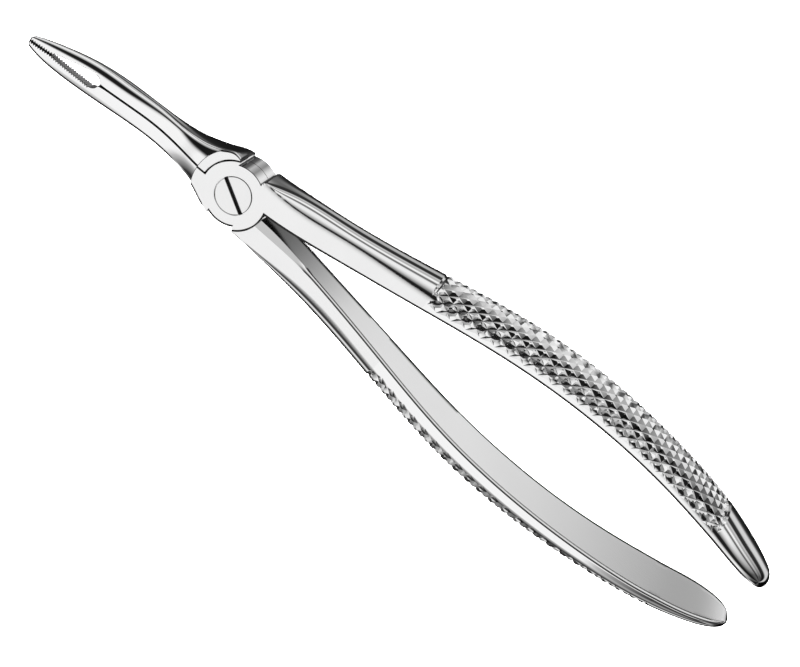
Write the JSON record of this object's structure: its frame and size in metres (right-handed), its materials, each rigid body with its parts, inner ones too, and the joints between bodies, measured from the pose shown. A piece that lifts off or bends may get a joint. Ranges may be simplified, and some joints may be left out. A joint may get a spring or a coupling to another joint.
{
  "type": "dental extraction forceps",
  "caption": "Extraction forceps for upper roots: crossed levers on a slotted pivot screw, slim serrated beaks, long bowed handles with a knurled grip.",
  "frame": {"origin": "on the pivot axis, at the flat back face of the joint", "axes": "+X along the forceps to the handle ends, +Y towards the front lever's handle, +Z along the pivot screw to its slotted head"},
  "size_m": [0.1755, 0.0346, 0.0151],
  "materials": {
    "polished_steel": "mirror-polished stainless steel, satin on the handles' inner faces",
    "screw_steel": "fine-ground stainless steel"
  },
  "bodies": {
    "back_half": {"back_lever": "polished_steel", "pivot_screw": "screw_steel"},
    "front_half": {"front_lever": "polished_steel"}
  },
  "joints": [
    {"name": "jaw_pivot", "type": "hinge", "parent": "back_half", "child": "front_half", "pos_m": [0, 0, 0.00425], "axis": [0, 0, 1], "range_deg": [0, 45]}
  ]
}
